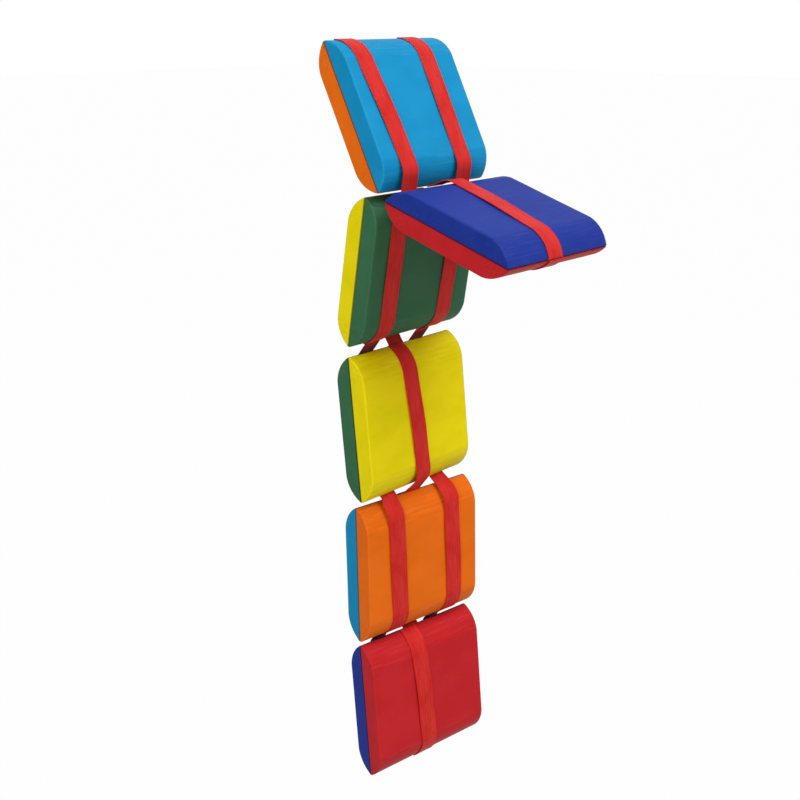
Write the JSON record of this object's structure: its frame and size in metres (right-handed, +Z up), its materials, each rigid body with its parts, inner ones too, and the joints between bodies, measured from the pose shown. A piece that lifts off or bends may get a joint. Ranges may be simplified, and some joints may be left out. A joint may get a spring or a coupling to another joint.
{
  "type": "flip block toy",
  "caption": "Hanging chain of two-tone wooden blocks joined by crossed ribbons, with one block caught mid-flip; each pair of blocks rolls open and shut on its ribbons.",
  "frame": {"origin": "middle of the top block's bare back face, where the toy is held", "axes": "+X across the ribbons, to the right as seen from the front; +Y away from the front; +Z up, along the hanging chain"},
  "size_m": [0.0621, 0.0913, 0.3035],
  "materials": {
    "light_blue_paint": "satin paint over close-grained wood",
    "orange_paint": "satin paint over close-grained wood",
    "dark_blue_paint": "satin paint over close-grained wood",
    "red_paint": "satin paint over close-grained wood",
    "green_paint": "satin paint over close-grained wood",
    "yellow_paint": "satin paint over close-grained wood",
    "ribbon": "woven satin ribbon"
  },
  "bodies": {
    "block_1": {"block_1_front_board": "light_blue_paint", "block_1_back_board": "orange_paint", "ribbon_1_2_left_run": "ribbon", "ribbon_1_2_right_run": "ribbon"},
    "link_1_2": {"ribbon_1_2_left_hinge": "ribbon", "ribbon_1_2_centre_hinge": "ribbon", "ribbon_1_2_right_hinge": "ribbon"},
    "block_2": {"block_2_front_board": "dark_blue_paint", "block_2_back_board": "red_paint", "ribbon_1_2_centre_run": "ribbon", "ribbon_2_3_centre_run": "ribbon"},
    "link_2_3": {"ribbon_2_3_left_hinge": "ribbon", "ribbon_2_3_centre_hinge": "ribbon", "ribbon_2_3_right_hinge": "ribbon"},
    "block_3": {"block_3_front_board": "green_paint", "block_3_back_board": "yellow_paint", "ribbon_2_3_left_run": "ribbon", "ribbon_2_3_right_run": "ribbon", "ribbon_3_4_centre_run": "ribbon"},
    "link_3_4": {"ribbon_3_4_left_hinge": "ribbon", "ribbon_3_4_centre_hinge": "ribbon", "ribbon_3_4_right_hinge": "ribbon"},
    "block_4": {"block_4_front_board": "yellow_paint", "block_4_back_board": "green_paint", "ribbon_3_4_left_run": "ribbon", "ribbon_3_4_right_run": "ribbon", "ribbon_4_5_centre_run": "ribbon"},
    "link_4_5": {"ribbon_4_5_left_hinge": "ribbon", "ribbon_4_5_centre_hinge": "ribbon", "ribbon_4_5_right_hinge": "ribbon"},
    "block_5": {"block_5_front_board": "orange_paint", "block_5_back_board": "light_blue_paint", "ribbon_4_5_left_run": "ribbon", "ribbon_4_5_right_run": "ribbon", "ribbon_5_6_centre_run": "ribbon"},
    "link_5_6": {"ribbon_5_6_left_hinge": "ribbon", "ribbon_5_6_centre_hinge": "ribbon", "ribbon_5_6_right_hinge": "ribbon"},
    "block_6": {"block_6_front_board": "red_paint", "block_6_back_board": "dark_blue_paint", "ribbon_5_6_left_run": "ribbon", "ribbon_5_6_right_run": "ribbon", "ribbon_6_front_run": "ribbon"}
  },
  "joints": [
    {"name": "flip_1_2", "type": "hinge", "parent": "block_1", "child": "link_1_2", "pos_m": [0, -0.0169, -0.01664], "axis": [1, 0, 0], "range_deg": [-48, 23], "deforming": ["ribbon_1_2_left_hinge", "ribbon_1_2_centre_hinge", "ribbon_1_2_right_hinge"]},
    {"name": "flip_1_2_roll", "type": "hinge", "parent": "link_1_2", "child": "block_2", "pos_m": [0, -0.03053, -0.02808], "axis": [1, 0, 0], "range_deg": [-48, 23], "deforming": ["ribbon_1_2_left_hinge", "ribbon_1_2_centre_hinge", "ribbon_1_2_right_hinge"]},
    {"name": "flip_2_3", "type": "hinge", "parent": "block_2", "child": "link_2_3", "pos_m": [0, -0.03053, -0.02808], "axis": [1, 0, 0], "range_deg": [-23, 48], "deforming": ["ribbon_2_3_left_hinge", "ribbon_2_3_centre_hinge", "ribbon_2_3_right_hinge"]},
    {"name": "flip_2_3_roll", "type": "hinge", "parent": "link_2_3", "child": "block_3", "pos_m": [0, -0.01217, -0.03258], "axis": [1, 0, 0], "range_deg": [-23, 48], "deforming": ["ribbon_2_3_left_hinge", "ribbon_2_3_centre_hinge", "ribbon_2_3_right_hinge"]},
    {"name": "fold_3_4", "type": "hinge", "parent": "block_3", "child": "link_3_4", "pos_m": [0, -0.00475, -0.07696], "axis": [1, 0, 0], "range_deg": [-2, 79], "deforming": ["ribbon_3_4_left_hinge", "ribbon_3_4_centre_hinge", "ribbon_3_4_right_hinge"]},
    {"name": "fold_3_4_roll", "type": "hinge", "parent": "link_3_4", "child": "block_4", "pos_m": [0, -0.00417, -0.09585], "axis": [1, 0, 0], "range_deg": [-2, 79], "deforming": ["ribbon_3_4_left_hinge", "ribbon_3_4_centre_hinge", "ribbon_3_4_right_hinge"]},
    {"name": "fold_4_5", "type": "hinge", "parent": "block_4", "child": "link_4_5", "pos_m": [0, -0.00887, -0.1406], "axis": [1, 0, 0], "range_deg": [-70, 3], "deforming": ["ribbon_4_5_left_hinge", "ribbon_4_5_centre_hinge", "ribbon_4_5_right_hinge"]},
    {"name": "fold_4_5_roll", "type": "hinge", "parent": "link_4_5", "child": "block_5", "pos_m": [0, -0.01005, -0.15857], "axis": [0.9925, -0.1219, 0], "range_deg": [-70, 3], "deforming": ["ribbon_4_5_left_hinge", "ribbon_4_5_centre_hinge", "ribbon_4_5_right_hinge"]},
    {"name": "fold_5_6", "type": "hinge", "parent": "block_5", "child": "link_5_6", "pos_m": [-0.00014, -0.01122, -0.20355], "axis": [0.9925, -0.1219, 0], "range_deg": [-2, 90], "deforming": ["ribbon_5_6_left_hinge", "ribbon_5_6_centre_hinge", "ribbon_5_6_right_hinge"]},
    {"name": "fold_5_6_roll", "type": "hinge", "parent": "link_5_6", "child": "block_6", "pos_m": [-0.00028, -0.0123, -0.22011], "axis": [0.9925, -0.1219, 0], "range_deg": [-2, 90], "deforming": ["ribbon_5_6_left_hinge", "ribbon_5_6_centre_hinge", "ribbon_5_6_right_hinge"]}
  ],
  "couplings": [
    {"joint": "flip_1_2_roll", "follows": "flip_1_2", "ratio": 1},
    {"joint": "flip_2_3", "follows": "flip_1_2", "ratio": -1},
    {"joint": "flip_2_3_roll", "follows": "flip_1_2", "ratio": -1},
    {"joint": "fold_3_4_roll", "follows": "fold_3_4", "ratio": 1},
    {"joint": "fold_4_5_roll", "follows": "fold_4_5", "ratio": 1},
    {"joint": "fold_5_6_roll", "follows": "fold_5_6", "ratio": 1}
  ]
}
